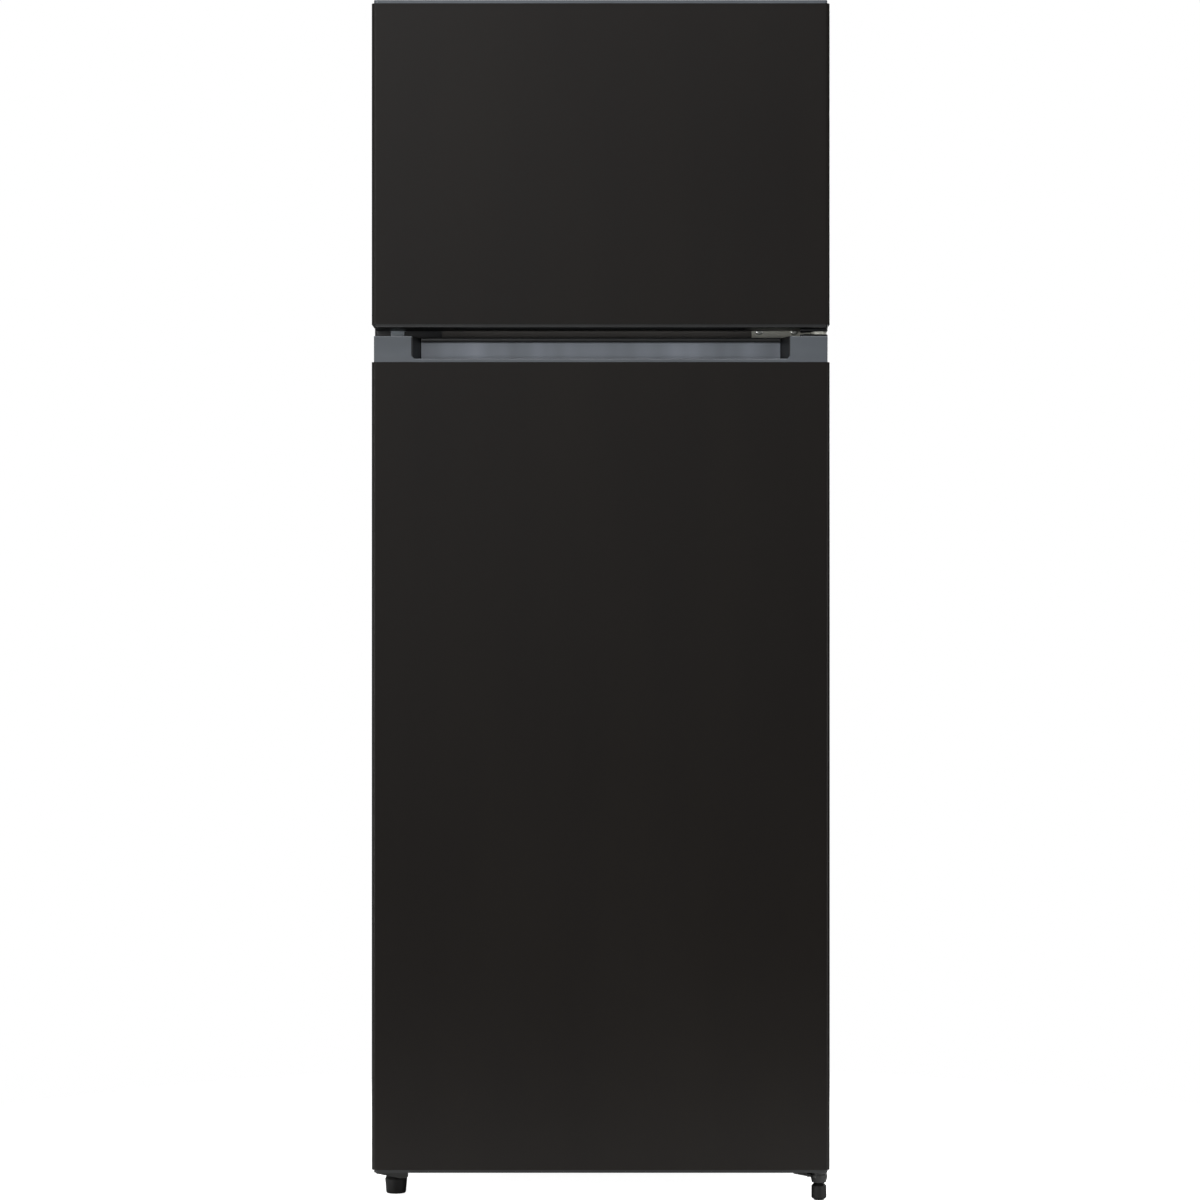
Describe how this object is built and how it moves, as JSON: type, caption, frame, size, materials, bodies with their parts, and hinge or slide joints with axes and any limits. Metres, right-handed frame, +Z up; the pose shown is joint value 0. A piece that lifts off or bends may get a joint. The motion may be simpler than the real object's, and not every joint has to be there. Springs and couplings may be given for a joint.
{
  "type": "top freezer refrigerator",
  "caption": "Upright two-door refrigerator with a freezer compartment above, doors hung on the right, shelves, door racks, a crisper and a compressor with a wire condenser behind.",
  "frame": {"origin": "on the floor, below the middle of the whole outline", "axes": "+Z up, +X to the right of someone facing the doors, +Y from the doors towards the wall behind"},
  "size_m": [0.545, 0.555, 1.43],
  "materials": {
    "door_paint": "satin",
    "cabinet_paint": "satin",
    "rail_paint": "satin",
    "galvanised": "matte",
    "hinge_steel": "satin",
    "bracket_paint": "satin",
    "screw_steel": "satin",
    "white_liner": "gloss",
    "foam": "matte",
    "black_plastic": "matte",
    "cap_plastic": "satin",
    "trim_grey": "satin",
    "gasket": "matte",
    "clear_plastic": "gloss",
    "shelf_glass": "gloss",
    "lens_plastic": "satin",
    "bulb_glass": "gloss",
    "white_plastic": "satin",
    "egg_plastic": "satin",
    "knob_plastic": "satin",
    "wire_white": "satin",
    "evaporator_sheet": "satin",
    "drain_plastic": "matte",
    "compressor_black": "gloss",
    "mount_rubber": "matte",
    "tray_plastic": "matte",
    "condenser_paint": "satin",
    "copper": "satin",
    "axle_steel": "satin",
    "roller_plastic": "matte",
    "foot_plastic": "matte"
  },
  "bodies": {
    "cabinet": {"hinge_screws": "screw_steel", "top_hinge": "bracket_paint", "top_hinge_cover": "black_plastic", "middle_hinge": "hinge_steel", "bottom_hinge": "bracket_paint", "left_foot_bracket": "bracket_paint", "cabinet_shell": "cabinet_paint", "back_panel": "galvanised", "base_pan": "galvanised", "mullion_rail": "rail_paint", "freezer_liner": "white_liner", "fridge_liner": "white_liner", "evaporators": "evaporator_sheet", "drain_tube": "drain_plastic", "cabinet_foam": "foam", "shelf_glasses": "shelf_glass", "shelf_trims": "white_plastic", "freezer_shelf": "wire_white", "control_box": "white_plastic", "lamp_lens": "lens_plastic", "lamp": "bulb_glass", "thermostat": "galvanised", "light_switch_body": "white_plastic", "compressor_base": "galvanised", "roller_axles": "axle_steel", "compressor": "compressor_black", "compressor_mounts": "mount_rubber", "relay_cover": "black_plastic", "drip_tray": "tray_plastic", "condenser_tube": "condenser_paint", "condenser_wires": "condenser_paint", "condenser_brackets": "bracket_paint", "filter_drier": "copper", "refrigerant_tubes": "copper"},
    "freezer_door": {"freezer_door_skin": "door_paint", "freezer_top_cap": "cap_plastic", "freezer_bottom_cap": "black_plastic", "freezer_door_liner": "white_liner", "freezer_door_foam": "foam", "freezer_door_gasket": "gasket", "freezer_rack_upper": "clear_plastic", "freezer_rack_lower": "clear_plastic"},
    "fridge_door": {"fridge_door_skin": "door_paint", "fridge_top_cap": "black_plastic", "grip_trim": "trim_grey", "fridge_bottom_cap": "cap_plastic", "fridge_door_liner": "white_liner", "fridge_door_foam": "foam", "fridge_door_gasket": "gasket", "fridge_rack_upper": "clear_plastic", "fridge_rack_middle": "clear_plastic", "bottle_rack": "clear_plastic", "egg_tray": "egg_plastic"},
    "crisper": {"crisper_drawer": "clear_plastic"},
    "thermostat_knob": {"thermostat_knob": "knob_plastic"},
    "light_switch": {"light_switch": "white_plastic"},
    "left_foot": {"front_foot_left": "foot_plastic"},
    "right_foot": {"front_foot_right": "foot_plastic"},
    "left_roller": {"rear_roller_left": "roller_plastic"},
    "right_roller": {"rear_roller_right": "roller_plastic"}
  },
  "joints": [
    {"name": "freezer_door_hinge", "type": "hinge", "parent": "cabinet", "child": "freezer_door", "pos_m": [0.261, -0.2525, 0], "axis": [0, 0, 1], "range_deg": [0, 115]},
    {"name": "fridge_door_hinge", "type": "hinge", "parent": "cabinet", "child": "fridge_door", "pos_m": [0.261, -0.2525, 0], "axis": [0, 0, 1], "range_deg": [0, 115]},
    {"name": "crisper_slide", "type": "slide", "parent": "cabinet", "child": "crisper", "axis": [0, -1, 0], "range_m": [0, 0.15]},
    {"name": "light_switch_press", "type": "slide", "parent": "cabinet", "child": "light_switch", "axis": [0, -1, 0], "range_m": [0, 0.006]},
    {"name": "thermostat_turn", "type": "hinge", "parent": "cabinet", "child": "thermostat_knob", "pos_m": [0.05, -0.165, 0.975], "axis": [0, 1, 0], "range_deg": [0, 290]},
    {"name": "left_foot_screw", "type": "slide", "parent": "cabinet", "child": "left_foot", "axis": [0, 0, -1], "range_m": [0, 0.012]},
    {"name": "right_foot_screw", "type": "slide", "parent": "cabinet", "child": "right_foot", "axis": [0, 0, -1], "range_m": [0, 0.012]},
    {"name": "left_roller_spin", "type": "hinge", "parent": "cabinet", "child": "left_roller", "pos_m": [-0.2405, 0.2135, 0.014], "axis": [1, 0, 0], "continuous": true},
    {"name": "right_roller_spin", "type": "hinge", "parent": "cabinet", "child": "right_roller", "pos_m": [0.2405, 0.2135, 0.014], "axis": [1, 0, 0], "continuous": true}
  ],
  "couplings": [
    {"joint": "crisper_slide", "follows": "fridge_door_hinge", "m_per_rad": 0.07473},
    {"joint": "light_switch_press", "follows": "fridge_door_hinge", "m_per_rad": 0.002989}
  ]
}
